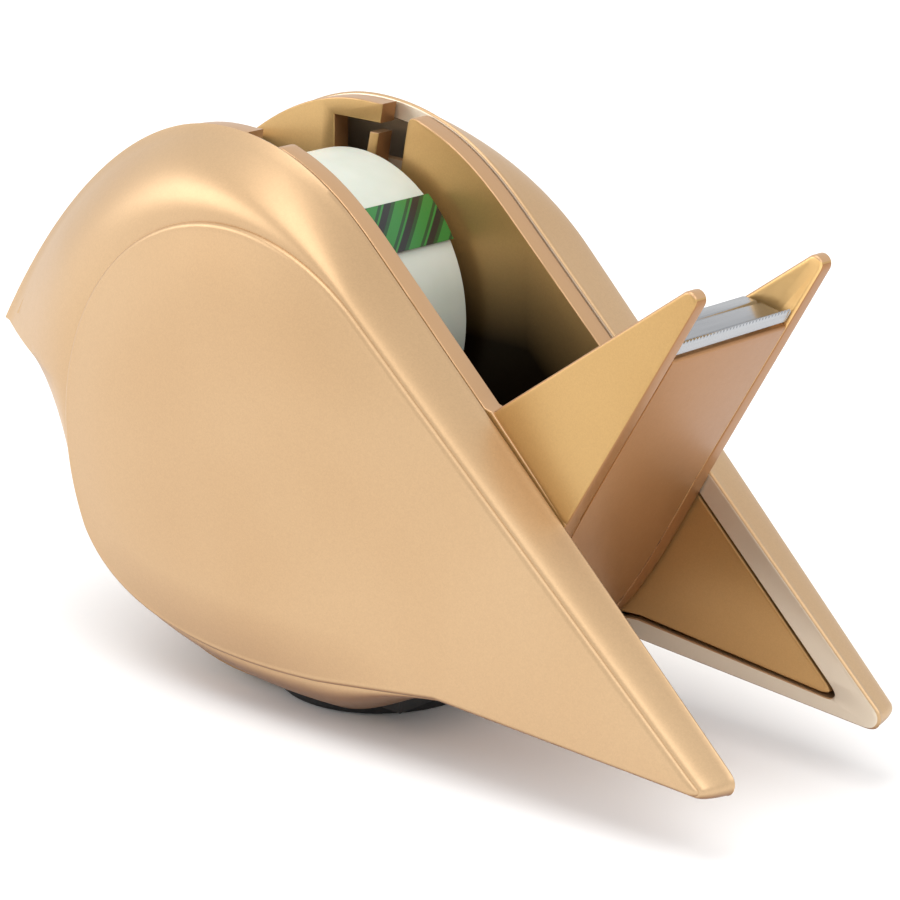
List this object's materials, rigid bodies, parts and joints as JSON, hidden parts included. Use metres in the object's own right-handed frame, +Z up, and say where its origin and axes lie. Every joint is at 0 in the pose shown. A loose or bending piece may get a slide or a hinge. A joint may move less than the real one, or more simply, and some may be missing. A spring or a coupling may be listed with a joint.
{
  "type": "desk tape dispenser",
  "caption": "Bird-shaped desk tape dispenser: two bulged shells, tail feathers, a drop-in tape roll on an axle and a serrated cutter between pointed ears.",
  "frame": {"origin": "middle of the bounding box's bottom face, on the table", "axes": "+X from the beak to the tail feathers, +Y to the bird's right, +Z up"},
  "size_m": [0.1426, 0.056, 0.0821],
  "materials": {
    "gold_shell": "satin champagne-gold metallic paint",
    "gold_frame": "satin champagne-gold metallic paint, slightly darker",
    "deep_gold_panel": "satin deep gold paint",
    "copper_cover": "satin copper-brown paint",
    "cast_weight": "rough cast iron",
    "black_plastic": "black moulded plastic",
    "rubber_pad": "black non-slip rubber",
    "silver_plastic": "silver metallic plastic",
    "blade_steel": "bright serrated steel",
    "plain_steel": "zinc-plated steel",
    "core_card": "grey-brown card tube",
    "matte_tape": "matte translucent white tape film, pale grey-green in the roll",
    "tab_film": "printed green film with plain diagonal stripes"
  },
  "bodies": {
    "body": {"left_shell": "gold_shell", "right_shell": "gold_shell", "left_inner_frame": "gold_frame", "right_inner_frame": "gold_frame", "left_tail_panel": "deep_gold_panel", "right_tail_panel": "deep_gold_panel", "front_cover": "copper_cover", "breast_cover": "gold_shell", "well_liner": "black_plastic", "ballast_weight": "cast_weight", "base_plate": "black_plastic", "base_pad": "rubber_pad", "cutter_holder": "silver_plastic", "cutter_blade": "blade_steel", "left_shell_screw_1": "plain_steel", "right_shell_screw_1": "plain_steel", "base_screw_1": "plain_steel", "left_shell_screw_2": "plain_steel", "right_shell_screw_2": "plain_steel", "base_screw_2": "plain_steel", "left_shell_screw_3": "plain_steel", "right_shell_screw_3": "plain_steel", "base_screw_3": "plain_steel", "frame_bolt_1": "plain_steel", "frame_nut_1": "plain_steel", "frame_bolt_2": "plain_steel", "frame_nut_2": "plain_steel"},
    "spindle": {"axle": "plain_steel"},
    "roll": {"left_hub": "black_plastic", "right_hub": "black_plastic", "tape_core": "core_card", "tape_roll": "matte_tape", "starter_tab": "tab_film"}
  },
  "joints": [
    {"name": "roll_lift_out", "type": "slide", "parent": "body", "child": "spindle", "axis": [0.199, 0, 0.98], "range_m": [0, 0.06]},
    {"name": "roll_spin", "type": "hinge", "parent": "spindle", "child": "roll", "pos_m": [-0.0213, 0, 0.0535], "axis": [0, 1, 0], "continuous": true}
  ]
}
